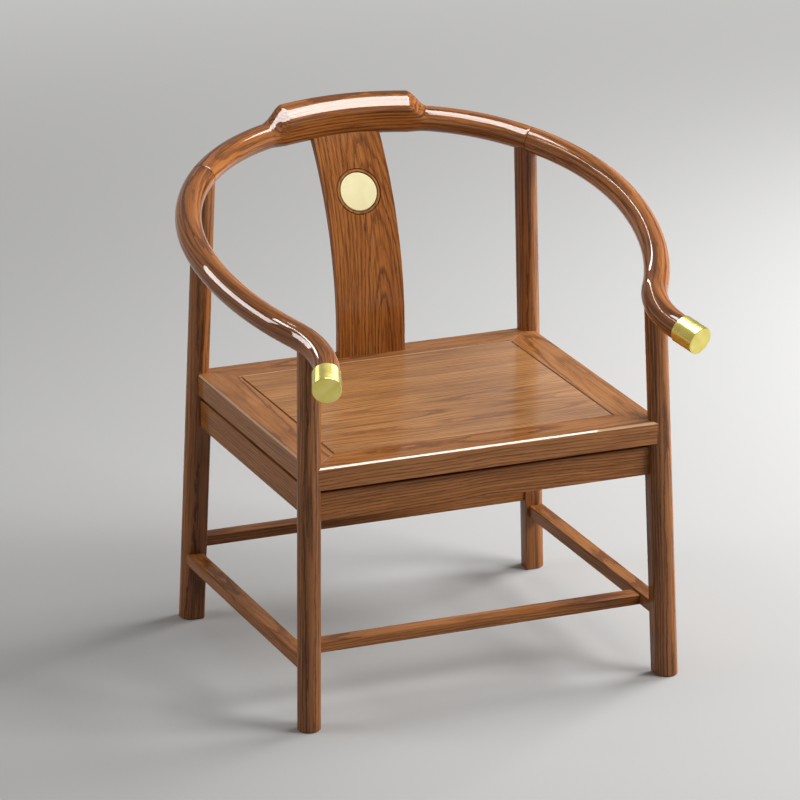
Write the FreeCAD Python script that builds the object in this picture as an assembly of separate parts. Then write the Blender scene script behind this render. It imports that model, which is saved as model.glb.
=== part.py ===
import FreeCAD, Part

import math
import os

from FreeCAD import Placement, Rotation, Vector

# Horseshoe back armchair in lacquered hardwood, in millimetres.
# +Z is up and the sitter faces -Y. Left and right are as seen from the front, so right is +X.
# The origin is on the floor, under the middle of the whole chair.

# Stance: the centres of the four legs on the floor
stance_width = 579.0
stance_depth = 492.0

# Legs: one stick each from the floor to the rail, round outside and square inside below the seat
leg_diameter = 35.0
foot_chamfer = 1.5
post_tenon_diameter = 16.0
post_tenon_length = 14.0

# Horseshoe rail: tangent bends in one sloping plane, from the middle of the crest to each hand
rail_diameter = 40.0
rail_slope = 15.8
crest_height = 739.3
crest_back = 336.0
crest_radius = 471.0
crest_angle = 11.6
back_radius = 317.0
back_angle = 77.2
arm_radius = 429.0
arm_angle = 32.1
hand_radius = 120.0
hand_angle = 51.3
hand_straight = 47.0
span_angle = 5.0
rear_post_share = 0.4615
front_post_share = 0.28

# Crest: the raised pillow in the middle of the rail
crest_rise = 24.0
crest_flat = 100.0
crest_ramp = 36.0
crest_extra_width = 1.6
crest_roundness_share = 1 / 3
tail_roundness_share = 1 / 2
outline_points = 8
flat_spans = 4
ramp_spans = 5

# Half-lap joints between the crest piece and the arms
joint_offset = 8.0
lap_length = 60.0
lap_dowel_diameter = 8.0
lap_dowel_length = 24.0

# Brass caps on the hands
cap_length = 40.0
cap_wall = 1.5
cap_end_thickness = 3.0
cap_edge_chamfer = 0.8

# Seat frame: four mitred rails with the legs passing through the corners
seat_height = 400.0
seat_thickness = 34.0
seat_rail_width = 55.0
seat_front_overhang = 15.8
seat_rear_overhang = 7.0
seat_side_overhang = 3.5
seat_edge_round = 3.0
corner_tenon_width = 12.0
corner_tenon_height = 10.0
corner_tenon_length = 30.0
corner_tenon_inset = 5.0

# Seat panel: glued boards that float in a groove of the frame, with two battens below
board_count = 5
panel_thickness = 16.0
panel_gap = 1.6
tongue_height = 6.0
tongue_length = 7.0
tongue_drop = 5.0
batten_width = 32.0
batten_height = 12.0
batten_spacing = 240.0
batten_key_height = 3.0
batten_key_flare = 2.0
batten_tenon_length = 10.0
batten_tenon_height = 8.0

# Aprons under the seat frame
apron_height = 52.0
apron_thickness = 14.0
apron_setback = 1.5
apron_reveal_height = 8.0
apron_reveal_depth = 4.0
apron_tenon_length = 10.0
apron_tenon_thickness = 6.0
apron_tenon_margin = 4.0
apron_edge_round = 1.2

# Stretchers near the floor
side_stretcher_top = 108.5
side_stretcher_height = 19.0
side_stretcher_width = 26.0
front_stretcher_top = 106.0
front_stretcher_setback = 71.0
rear_stretcher_top = 133.0
cross_stretcher_height = 16.0
cross_stretcher_width = 28.0
stretcher_edge_round = 2.5
stretcher_tenon_length = 11.0
stretcher_tenon_margin = 4.0

# Back splat: a plate of one curve, from the rear seat rail up into the crest
splat_width = 110.0
splat_thickness = 12.0
splat_foot_setback = 28.0
splat_upright_height = 30.0
splat_head_offset = 4.0
splat_head_housing = 8.0
splat_tenon_thickness = 6.0
splat_tenon_margin = 8.0
splat_tenon_length = 12.0
splat_edge_chamfer = 1.0

# Medallion let into the splat: a turned wooden ring round a pale disc
medallion_drop = 73.6
medallion_depth = 4.5
disc_diameter = 60.0
disc_thickness = 4.0
ring_wall = 4.2
medallion_gap = 0.8

# Clearances
fit_gap = 0.15
overrun = 60.0

leg_radius = leg_diameter / 2
rail_radius = rail_diameter / 2
seat_underside = seat_height - seat_thickness


def box(low, high):
    """Block between two opposite corners."""
    size = high - low
    return Part.makeBox(size.x, size.y, size.z, low)


def mirrored(shape):
    """The same piece on the other side of the chair."""
    return shape.mirror(Vector(0, 0, 0), Vector(1, 0, 0))


def rounded(shape, radius, wanted):
    """Rounds the edges for which wanted(edge) is true."""
    edges = [edge for edge in shape.Edges if wanted(edge)]
    return shape.makeFillet(radius, edges)


def runs_along(edge, axis):
    """True for a straight edge parallel to an axis."""
    if edge.Curve.TypeId != "Part::GeomLine":
        return False
    return edge.Curve.Direction.cross(axis).Length < 1e-6


class Bend:
    """One arc of the rail in the rail's own plane; a positive side turns towards the sitter."""

    def __init__(self, start, heading, radius, turn, side):
        self.radius = radius
        self.heading = heading
        self.turn = math.radians(turn)
        self.side = side
        self.centre = start + self.normal(heading) * radius * side
        self.length = radius * self.turn

    def normal(self, heading):
        """Unit vector to the right of a heading."""
        return Vector(math.sin(heading), -math.cos(heading), 0)

    def heading_at(self, share):
        return self.heading - self.side * self.turn * share

    def point(self, share):
        return self.centre - self.normal(self.heading_at(share)) * self.radius * self.side

    def direction(self, share):
        heading = self.heading_at(share)
        return Vector(math.cos(heading), math.sin(heading), 0)

    def shares(self, first, last):
        """Steps of about one span's turn from a first to a last share."""
        spans = math.ceil(math.degrees(self.turn) * (last - first) / span_angle)
        return [first + (last - first) * step / spans for step in range(spans + 1)]

    def ring(self, share):
        """Circle round the rail at a share of the bend."""
        circle = Part.Circle(Vector(0, 0, 0), Vector(1, 0, 0), rail_radius).toShape()
        turned = Rotation(Vector(0, 0, 1), math.degrees(self.heading_at(share)))
        circle.Placement = Placement(self.point(share), turned)
        return Part.Wire([circle])

    def rings(self, first, last):
        return [self.ring(share) for share in self.shares(first, last)]


def rail_bends():
    """The four bends of the right half of the rail, from the middle of the crest to the hand."""
    bends = []
    start = Vector(0, 0, 0)
    heading = 0.0
    shapes = ((crest_radius, crest_angle, 1), (back_radius, back_angle, 1),
              (arm_radius, arm_angle, 1), (hand_radius, hand_angle, -1))
    for radius, turn, side in shapes:
        bend = Bend(start, heading, radius, turn, side)
        bends.append(bend)
        start = bend.point(1)
        heading = bend.heading_at(1)
    return bends


crest_bend, back_bend, arm_bend, hand_bend = rail_bends()
hand_direction = hand_bend.direction(1)
hand_end = hand_bend.point(1) + hand_direction * hand_straight
rail_plane = Placement(Vector(0, crest_back, crest_height), Rotation(Vector(1, 0, 0), rail_slope))

joint_share = rear_post_share + joint_offset / back_bend.length
lap_end_share = joint_share + lap_length / back_bend.length


def in_rail_plane(shape):
    """Moves a shape from the rail's own plane to its place on the chair."""
    moved = shape.copy()
    moved.Placement = rail_plane.multiply(shape.Placement)
    return moved


def lap_sector(first, last, low, high):
    """Block over a stretch of the back bend, between two shares and two heights off the rail's plane."""
    centre = back_bend.centre
    reach = back_bend.radius + rail_diameter
    inner = back_bend.radius - rail_diameter
    rim = []
    for radius in (inner, reach):
        points = [centre + (back_bend.point(share) - centre).normalize() * radius
                  for share in (first, (first + last) / 2, last)]
        rim.append(points)
    edges = [Part.Arc(*rim[0]).toShape(),
             Part.LineSegment(rim[0][2], rim[1][2]).toShape(),
             Part.Arc(*rim[1]).toShape(),
             Part.LineSegment(rim[1][0], rim[0][0]).toShape()]
    face = Part.Face(Part.Wire(Part.__sortEdges__(edges)))
    face.translate(Vector(0, 0, low))
    return face.extrude(Vector(0, 0, high - low))


def crest_place(distance):
    """Point and outward direction in the rail's plane at a distance from the crest's middle."""
    side = -1 if distance < 0 else 1
    along = abs(distance)
    if along <= crest_bend.length:
        bend, share = crest_bend, along / crest_bend.length
    else:
        bend, share = back_bend, (along - crest_bend.length) / back_bend.length
    point = bend.point(share)
    outward = bend.normal(bend.heading_at(share)) * -1
    return Vector(point.x * side, point.y, 0), Vector(outward.x * side, outward.y, 0)


def crest_share(distance):
    """How much of the crest's raised form is there: 1 on the flat, an S-shaped ramp, then 0."""
    step = (abs(distance) - crest_flat) / crest_ramp
    step = min(max(step, 0), 1)
    return 1 - step * step * (3 - 2 * step)


def crest_section(distance):
    """Closed outline of the crest piece across the rail, from a squared oval to a circle."""
    point, outward = crest_place(distance)
    raised = crest_share(distance)
    half_width = rail_radius + crest_extra_width * raised
    share = tail_roundness_share + (crest_roundness_share - tail_roundness_share) * raised
    outline = []
    for step in range(outline_points):
        angle = 2 * math.pi * step / outline_points
        across, up = math.cos(angle), math.sin(angle)
        reach = (abs(across) ** (1 / share) + abs(up) ** (1 / share)) ** -share
        half_height = rail_radius + (crest_rise * raised if up > 0 else 0)
        outline.append(point + outward * across * reach * half_width
                       + Vector(0, 0, up * reach * half_height))
    curve = Part.BSplineCurve()
    curve.interpolate(Points=outline, PeriodicFlag=True)
    return Part.Wire([curve.toShape()])


def crest_stations():
    """Distances of the sections from the crest's middle, on the right half."""
    tail_start = crest_flat + crest_ramp
    flat = [crest_flat * span / flat_spans for span in range(flat_spans)]
    ramp = [crest_flat + crest_ramp * span / ramp_spans for span in range(ramp_spans)]
    ramp_end_share = (tail_start - crest_bend.length) / back_bend.length
    tail = back_bend.shares(ramp_end_share, joint_share) + back_bend.shares(joint_share, lap_end_share)[1:]
    return flat + ramp + [crest_bend.length + back_bend.length * share for share in tail]


def make_crest_rail():
    """Middle piece of the rail: the raised crest, the round tails and the lower halves of both lap joints."""
    right = crest_stations()
    stations = [-distance for distance in reversed(right[1:])] + right
    bar = Part.makeLoft([crest_section(distance) for distance in stations], True, True)
    past_end = lap_end_share + rail_radius / back_bend.length
    upper = lap_sector(joint_share, past_end, 0, rail_diameter)
    return bar.cut([upper, mirrored(upper)])


def make_arm():
    """Right arm: the upper half of the lap joint, the side, the hand's bend and the part in the cap."""
    end = hand_bend.ring(1)
    end.translate(hand_direction * (hand_straight - cap_end_thickness))
    rings = (back_bend.rings(joint_share, lap_end_share) + back_bend.rings(lap_end_share, 1)[1:]
             + arm_bend.rings(0, 1)[1:] + hand_bend.rings(0, 1)[1:])
    before_joint = joint_share - rail_radius / back_bend.length
    lower = lap_sector(before_joint, lap_end_share, -rail_diameter, 0)
    return Part.makeLoft(rings + [end], True, True).cut(lower)


def lap_dowel(gap):
    """Dowel across the middle of the right lap joint."""
    foot = back_bend.point((joint_share + lap_end_share) / 2)
    half = lap_dowel_length / 2 + gap
    return Part.makeCylinder(lap_dowel_diameter / 2 + gap, 2 * half, foot - Vector(0, 0, half))


def make_cap():
    """Turned brass cap over the end of the right hand."""
    radius = rail_radius + fit_gap + cap_wall
    shell = Part.makeCylinder(radius, cap_length)
    rim = [edge for edge in shell.Edges
           if edge.Curve.TypeId == "Part::GeomCircle" and edge.Curve.Center.z > cap_length / 2]
    shell = shell.makeChamfer(cap_edge_chamfer, rim)
    bore = Part.makeCylinder(rail_radius + fit_gap, cap_length - cap_end_thickness)
    cap = shell.cut(bore)
    cap.Placement = Placement(hand_end - hand_direction * cap_length,
                              Rotation(Vector(0, 0, 1), hand_direction))
    return cap


class Leg:
    """A leg from its foot on the floor to the rail's centre line, leaning as these two points ask."""

    def __init__(self, foot, head, inward_y):
        self.foot = foot
        self.head = head
        self.axis = (head - foot).normalize()
        # The square corner looks to the middle of the seat
        across = Vector(-1, 0, 0)
        along = Vector(0, inward_y, 0)
        self.across = (across - self.axis * across.dot(self.axis)).normalize()
        along = along - self.axis * along.dot(self.axis)
        self.along = (along - self.across * along.dot(self.across)).normalize()

    def centre(self, height):
        """Centre of the leg at a height above the floor."""
        return self.foot + (self.head - self.foot) * (height / self.head.z)

    def lower_part(self):
        """Long bar with the section of the leg below the seat."""
        base = self.foot - self.axis * overrun
        first = base + self.across * leg_radius
        square = first + self.along * leg_radius
        last = base + self.along * leg_radius
        far = base - (self.across + self.along).normalize() * leg_radius
        outline = Part.Wire([Part.LineSegment(first, square).toShape(),
                             Part.LineSegment(square, last).toShape(),
                             Part.Arc(last, far, first).toShape()])
        return Part.Face(outline).extrude(self.axis * (self.head - base).Length)

    def stick(self):
        """The whole leg before its top is shaped to the rail."""
        reach = Vector(stance_width, stance_depth, 0)
        seat_level = Vector(0, 0, seat_underside)
        below = box(-reach, reach + seat_level)
        above = box(seat_level - reach, reach + self.head)
        base = self.foot - self.axis * overrun
        post = Part.makeCylinder(leg_radius, (self.head - base).Length, base, self.axis)
        leg = self.lower_part().common(below).fuse(post.common(above)).removeSplitter()
        floor_edges = [edge for edge in leg.Edges if edge.BoundBox.ZMax < foot_chamfer]
        return leg.makeChamfer(foot_chamfer, floor_edges)

    def tenon(self, gap):
        """Round tenon from inside the post into the rail."""
        start = self.head - self.axis * rail_diameter
        length = rail_diameter - rail_radius + post_tenon_length
        return Part.makeCylinder(post_tenon_diameter / 2 + gap, length + gap, start, self.axis)


front_leg = Leg(Vector(stance_width / 2, -stance_depth / 2, 0),
                rail_plane.multVec(hand_bend.point(front_post_share)), 1)
rear_leg = Leg(Vector(stance_width / 2, stance_depth / 2, 0),
               rail_plane.multVec(back_bend.point(rear_post_share)), -1)

# Seat frame outline, from where the legs are at the height of the seat
seat_half_width = ((front_leg.centre(seat_height).x + rear_leg.centre(seat_height).x) / 2
                   + seat_side_overhang)
seat_front = front_leg.centre(seat_height).y - seat_front_overhang
seat_rear = rear_leg.centre(seat_height).y + seat_rear_overhang
panel_half_width = seat_half_width - seat_rail_width
panel_front = seat_front + seat_rail_width
panel_rear = seat_rear - seat_rail_width
panel_underside = seat_height - panel_thickness
tongue_top = seat_height - tongue_drop
tongue_underside = tongue_top - tongue_height


def seat_ring():
    """The seat frame as one slab with a hole and a groove for the panel, before it is mitred."""
    slab = box(Vector(-seat_half_width, seat_front, seat_underside),
               Vector(seat_half_width, seat_rear, seat_height))
    upper = seat_height - seat_thickness / 2
    slab = rounded(slab, seat_edge_round, lambda edge: edge.BoundBox.ZMin > upper)
    hole = box(Vector(-panel_half_width, panel_front, seat_underside - overrun),
               Vector(panel_half_width, panel_rear, seat_height + overrun))
    reach = tongue_length + fit_gap
    groove = box(Vector(-panel_half_width - reach, panel_front - reach, tongue_underside - fit_gap),
                 Vector(panel_half_width + reach, panel_rear + reach, tongue_top + fit_gap))
    return slab.cut([hole, groove])


def frame_side(ring, outer_a, outer_b, inner_b, inner_a):
    """The side of the frame between two mitre lines, each from an outer to an inner corner."""
    face = Part.Face(Part.makePolygon([outer_a, outer_b, inner_b, inner_a, outer_a]))
    return ring.common(face.extrude(Vector(0, 0, seat_thickness + 2 * overrun)))


def corner_tenon(side, inner_edge, outward, gap):
    """Tenon at one corner, from the front or rear rail into the side rail."""
    near = inner_edge + outward * corner_tenon_inset
    far = near + outward * corner_tenon_width
    middle = seat_underside + seat_thickness / 3
    start = side * (panel_half_width - corner_tenon_width)
    end = side * (panel_half_width + corner_tenon_length)
    half_height = corner_tenon_height / 2
    grow = Vector(gap, gap, gap)
    low = Vector(min(start, end), min(near, far), middle - half_height)
    high = Vector(max(start, end), max(near, far), middle + half_height)
    return box(low - grow, high + grow)


def make_seat_frame(sticks):
    """Front, rear and right rails of the frame, mitred, tenoned and notched round the legs."""
    ring = seat_ring().cut(sticks)
    low = seat_underside - overrun
    front_outer = [Vector(side * seat_half_width, seat_front, low) for side in (-1, 1)]
    rear_outer = [Vector(side * seat_half_width, seat_rear, low) for side in (-1, 1)]
    front_inner = [Vector(side * panel_half_width, panel_front, low) for side in (-1, 1)]
    rear_inner = [Vector(side * panel_half_width, panel_rear, low) for side in (-1, 1)]
    front = frame_side(ring, front_outer[0], front_outer[1], front_inner[1], front_inner[0])
    rear = frame_side(ring, rear_outer[0], rear_outer[1], rear_inner[1], rear_inner[0])
    right = frame_side(ring, front_outer[1], rear_outer[1], rear_inner[1], front_inner[1])
    front = front.fuse([corner_tenon(side, panel_front, -1, 0) for side in (-1, 1)]).removeSplitter()
    rear = rear.fuse([corner_tenon(side, panel_rear, 1, 0) for side in (-1, 1)]).removeSplitter()
    right = right.cut([corner_tenon(1, panel_front, -1, fit_gap), corner_tenon(1, panel_rear, 1, fit_gap)])
    return front, rear, right


def batten(side, gap):
    """Batten under the panel from front to back, with a dovetail key up into the boards."""
    middle = side * batten_spacing / 2
    half = batten_width / 2
    start = Vector(middle - half, panel_front, panel_underside - batten_height)
    bar = box(start, Vector(middle + half, panel_rear, panel_underside))
    neck = half - 2 * batten_key_flare + gap
    top = neck + batten_key_flare
    key_top = panel_underside + batten_key_height + gap
    outline = [Vector(middle - neck, panel_front, panel_underside - gap),
               Vector(middle + neck, panel_front, panel_underside - gap),
               Vector(middle + top, panel_front, key_top),
               Vector(middle - top, panel_front, key_top)]
    key = Part.Face(Part.makePolygon(outline + outline[:1])).extrude(Vector(0, panel_rear - panel_front, 0))
    return bar, key


def batten_tenon(side, gap):
    """Tenons at both ends of a batten, into the front and rear rails, as one long bar."""
    middle = side * batten_spacing / 2
    half = batten_width / 2 - batten_key_flare
    centre = panel_underside - batten_height / 2
    grow = Vector(gap, gap, gap)
    low = Vector(middle - half, panel_front - batten_tenon_length, centre - batten_tenon_height / 2)
    high = Vector(middle + half, panel_rear + batten_tenon_length, centre + batten_tenon_height / 2)
    return box(low - grow, high + grow)


def make_batten(side):
    """One batten with its key and its two tenons."""
    bar, key = batten(side, 0)
    keep = panel_gap + tongue_length
    trim = box(Vector(-seat_half_width, panel_front + keep, seat_underside),
               Vector(seat_half_width, panel_rear - keep, seat_height))
    return bar.fuse([key.common(trim), batten_tenon(side, 0)]).removeSplitter()


def make_boards():
    """The boards of the panel from front to back, with tongues where they meet the frame."""
    half = panel_half_width - panel_gap
    first = panel_front + panel_gap
    last = panel_rear - panel_gap
    width = (last - first) / board_count
    tongue_reach = panel_gap + tongue_length - fit_gap
    slots = [batten(side, fit_gap)[1] for side in (-1, 1)]
    boards = []
    for number in range(board_count):
        near = first + width * number
        far = near + width
        board = box(Vector(-half, near, panel_underside), Vector(half, far, seat_height))
        tongue_near = near - tongue_reach if number == 0 else near
        tongue_far = far + tongue_reach if number == board_count - 1 else far
        tongue = box(Vector(-half - tongue_reach, tongue_near, tongue_underside),
                     Vector(half + tongue_reach, tongue_far, tongue_top))
        boards.append(board.fuse(tongue).removeSplitter().cut(slots))
    return boards


def largest(shape):
    """The biggest solid of a shape that a cut left in pieces."""
    return max(shape.Solids, key=lambda solid: solid.Volume)


def apron_levels(upper):
    """Lowest and highest point of an apron's tenons: those of two aprons in one leg pass each other."""
    bottom = seat_underside - apron_height
    middle = seat_underside - apron_height / 2
    if upper:
        return middle + apron_tenon_margin / 2, seat_underside - apron_tenon_margin
    return bottom + apron_tenon_margin, middle - apron_tenon_margin / 2


def leg_inside(leg, height, axis):
    """Where a leg's flat inner face is at a height, along the x or the y axis, from the middle."""
    centre = leg.centre(height)
    return abs(centre.x if axis == "x" else centre.y) - leg_radius


def end_apron_tenon(leg, gap):
    """Both tenons of the front or rear apron as one bar from side to side."""
    low_z, high_z = apron_levels(True)
    middle = seat_underside - apron_height / 2
    face, inward = end_apron_face(leg)
    near = face + inward * apron_reveal_depth
    far = near + inward * apron_tenon_thickness
    reach = leg_inside(leg, middle, "x") + apron_tenon_length
    grow = Vector(gap, gap, gap)
    return box(Vector(-reach, min(near, far), low_z) - grow, Vector(reach, max(near, far), high_z) + grow)


def end_apron_face(leg):
    """Outer face of the front or rear apron, and the direction from it to the middle."""
    centre = leg.centre(seat_underside - apron_height / 2).y
    inward = 1 if centre < 0 else -1
    return centre + inward * apron_setback, inward


def make_end_apron(leg, sticks):
    """Front or rear apron between two legs, with a shadow line cut along its top."""
    face, inward = end_apron_face(leg)
    back = face + inward * apron_thickness
    reveal = face + inward * apron_reveal_depth
    reach = leg.centre(seat_underside).x
    bottom = seat_underside - apron_height
    top = seat_underside - apron_reveal_height
    bar = box(Vector(-reach, min(face, back), bottom), Vector(reach, max(face, back), seat_underside))
    bar = bar.cut(box(Vector(-reach, min(face, reveal), top), Vector(reach, max(face, reveal), seat_underside)))
    bar = rounded(bar, apron_edge_round, lambda edge: runs_along(edge, Vector(1, 0, 0))
                  and abs(edge.BoundBox.YMin - face) < fit_gap)
    return largest(bar.cut(sticks)).fuse(end_apron_tenon(leg, 0)).removeSplitter()


def side_apron_face():
    """Outer face of the right apron."""
    middle = seat_underside - apron_height / 2
    return (front_leg.centre(middle).x + rear_leg.centre(middle).x) / 2 - apron_setback


def side_apron_tenon(gap):
    """Both tenons of the right apron as one bar from front to back."""
    low_z, high_z = apron_levels(False)
    middle = seat_underside - apron_height / 2
    far = side_apron_face() - apron_reveal_depth
    near = far - apron_tenon_thickness
    front = -leg_inside(front_leg, middle, "y") - apron_tenon_length
    rear = leg_inside(rear_leg, middle, "y") + apron_tenon_length
    grow = Vector(gap, gap, gap)
    return box(Vector(near, front, low_z) - grow, Vector(far, rear, high_z) + grow)


def make_side_apron(sticks):
    """Right apron between the front and rear legs."""
    face = side_apron_face()
    back = face - apron_thickness
    reveal = face - apron_reveal_depth
    bottom = seat_underside - apron_height
    top = seat_underside - apron_reveal_height
    front = front_leg.centre(seat_underside).y
    rear = rear_leg.centre(seat_underside).y
    bar = box(Vector(back, front, bottom), Vector(face, rear, seat_underside))
    bar = bar.cut(box(Vector(reveal, front, top), Vector(face, rear, seat_underside)))
    bar = rounded(bar, apron_edge_round, lambda edge: runs_along(edge, Vector(0, 1, 0))
                  and abs(edge.BoundBox.XMin - face) < fit_gap)
    return largest(bar.cut(sticks)).fuse(side_apron_tenon(0)).removeSplitter()


def bar_between(start, end, width, height, margin):
    """Level bar along x or y between two points of its centre line, inset by a margin all round."""
    half_width = width / 2 - margin
    half_height = height / 2 - margin
    if start.x == end.x:
        side = Vector(half_width, 0, half_height)
    else:
        side = Vector(0, half_width, half_height)
    return box(start - side, end + side)


def stretcher_bar(start, end, width, height):
    """Stretcher with softened long edges."""
    along = (end - start).normalize()
    bar = bar_between(start, end, width, height, 0)
    return rounded(bar, stretcher_edge_round, lambda edge: runs_along(edge, along))


side_stretcher_level = side_stretcher_top - side_stretcher_height / 2
side_stretcher_x = (front_leg.centre(side_stretcher_level).x + rear_leg.centre(side_stretcher_level).x) / 2
front_stretcher_level = front_stretcher_top - cross_stretcher_height / 2
front_stretcher_y = front_leg.centre(front_stretcher_level).y + front_stretcher_setback
rear_stretcher_level = rear_stretcher_top - cross_stretcher_height / 2
rear_stretcher_y = rear_leg.centre(rear_stretcher_level).y


def side_stretcher_line(reach):
    """Ends of the right stretcher's centre line, a given way past the flat inner faces of the legs."""
    front = -leg_inside(front_leg, side_stretcher_level, "y") - reach
    rear = leg_inside(rear_leg, side_stretcher_level, "y") + reach
    return (Vector(side_stretcher_x, front, side_stretcher_level),
            Vector(side_stretcher_x, rear, side_stretcher_level))


def rear_stretcher_line(reach):
    """Ends of the rear stretcher's centre line, a given way past the flat inner faces of the legs."""
    half = leg_inside(rear_leg, rear_stretcher_level, "x") + reach
    return (Vector(-half, rear_stretcher_y, rear_stretcher_level),
            Vector(half, rear_stretcher_y, rear_stretcher_level))


def front_stretcher_line(reach):
    """Ends of the front stretcher's centre line, a given way past the side stretchers' inner faces."""
    half = side_stretcher_x - side_stretcher_width / 2 + reach
    return (Vector(-half, front_stretcher_y, front_stretcher_level),
            Vector(half, front_stretcher_y, front_stretcher_level))


def stretcher_tenons(line, width, height, gap):
    """Both tenons of a stretcher as one inner bar."""
    start, end = line(stretcher_tenon_length + gap)
    return bar_between(start, end, width, height, stretcher_tenon_margin - gap)


def make_stretcher(line, width, height, sticks):
    """Stretcher shaped to the legs that it meets, with its tenons."""
    start, end = line(leg_radius)
    bar = largest(stretcher_bar(start, end, width, height).cut(sticks))
    return bar.fuse(stretcher_tenons(line, width, height, 0)).removeSplitter()


def make_front_stretcher():
    """Front stretcher, which butts against the inner faces of the side stretchers."""
    start, end = front_stretcher_line(0)
    bar = stretcher_bar(start, end, cross_stretcher_width, cross_stretcher_height)
    tenons = stretcher_tenons(front_stretcher_line, cross_stretcher_width, cross_stretcher_height, 0)
    return bar.fuse(tenons).removeSplitter()


# Splat curve: upright at the seat, then one arc back to the middle of the crest
splat_foot = Vector(0, seat_rear - splat_foot_setback, seat_height + splat_upright_height)
splat_run = crest_back + splat_head_offset - splat_foot.y
splat_climb = crest_height - splat_foot.z
splat_radius = (splat_run ** 2 + splat_climb ** 2) / (2 * splat_run)
splat_head_angle = math.asin(splat_climb / splat_radius)


def splat_point(angle, depth):
    """Point on the splat's curve, a depth behind its middle surface."""
    radius = splat_radius - depth
    return Vector(0, splat_foot.y + splat_radius - radius * math.cos(angle),
                  splat_foot.z + radius * math.sin(angle))


def splat_strip(thickness, width, foot_height, into_crest):
    """Curved plate from a height near the seat up to a depth inside the crest."""
    head_angle = splat_head_angle - (rail_radius - into_crest) / splat_radius
    half = thickness / 2
    front = [splat_point(angle, -half) for angle in (0, head_angle / 2, head_angle)]
    back = [splat_point(angle, half) for angle in (head_angle, head_angle / 2, 0)]
    front_foot = Vector(0, front[0].y, foot_height)
    back_foot = Vector(0, back[2].y, foot_height)
    outline = Part.Wire([Part.LineSegment(front_foot, front[0]).toShape(), Part.Arc(*front).toShape(),
                         Part.LineSegment(front[2], back[0]).toShape(), Part.Arc(*back).toShape(),
                         Part.LineSegment(back[2], back_foot).toShape(),
                         Part.LineSegment(back_foot, front_foot).toShape()])
    plate = Part.Face(outline).extrude(Vector(width, 0, 0))
    plate.translate(Vector(-width / 2, 0, 0))
    return plate


def splat_tenon():
    """Block inside the splat whose lower end is the tenon into the rear seat rail."""
    half = Vector(splat_width / 2 - splat_tenon_margin, splat_tenon_thickness / 2, splat_tenon_length)
    shoulder = Vector(0, splat_foot.y, seat_height)
    return box(shoulder - half, shoulder + half)


def medallion_cylinder(diameter, bottom, top):
    """Disc about the medallion's axis, between two heights over the splat's face."""
    front_radius = splat_radius + splat_thickness / 2
    height = crest_height - rail_radius - medallion_drop
    angle = math.asin((height - splat_foot.z) / front_radius)
    centre = splat_point(angle, -splat_thickness / 2)
    normal = Vector(0, -math.cos(angle), math.sin(angle))
    return Part.makeCylinder(diameter / 2, top - bottom, centre + normal * bottom, normal)


def make_medallion():
    """Pale disc, the wooden ring round it, and the pocket that the splat has for both."""
    inner = disc_diameter + 2 * medallion_gap
    outer = inner + 2 * ring_wall
    disc = medallion_cylinder(disc_diameter, -medallion_depth, disc_thickness - medallion_depth)
    ring = medallion_cylinder(outer, -medallion_depth, 0).cut(medallion_cylinder(inner, -medallion_depth, 0))
    pocket = medallion_cylinder(outer + 2 * medallion_gap, -medallion_depth, medallion_depth)
    return disc, ring, pocket


def make_splat(pocket):
    """Curved splat with rounded edges, whose head stands in a housing below the crest."""
    plate = splat_strip(splat_thickness, splat_width, seat_height, splat_head_housing)
    arrises = [edge for edge in plate.Edges
               if edge.BoundBox.XLength < fit_gap and edge.BoundBox.ZLength > splat_thickness]
    plate = plate.makeChamfer(splat_edge_chamfer, arrises)
    return plate.fuse(splat_tenon()).removeSplitter().cut(pocket)


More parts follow.
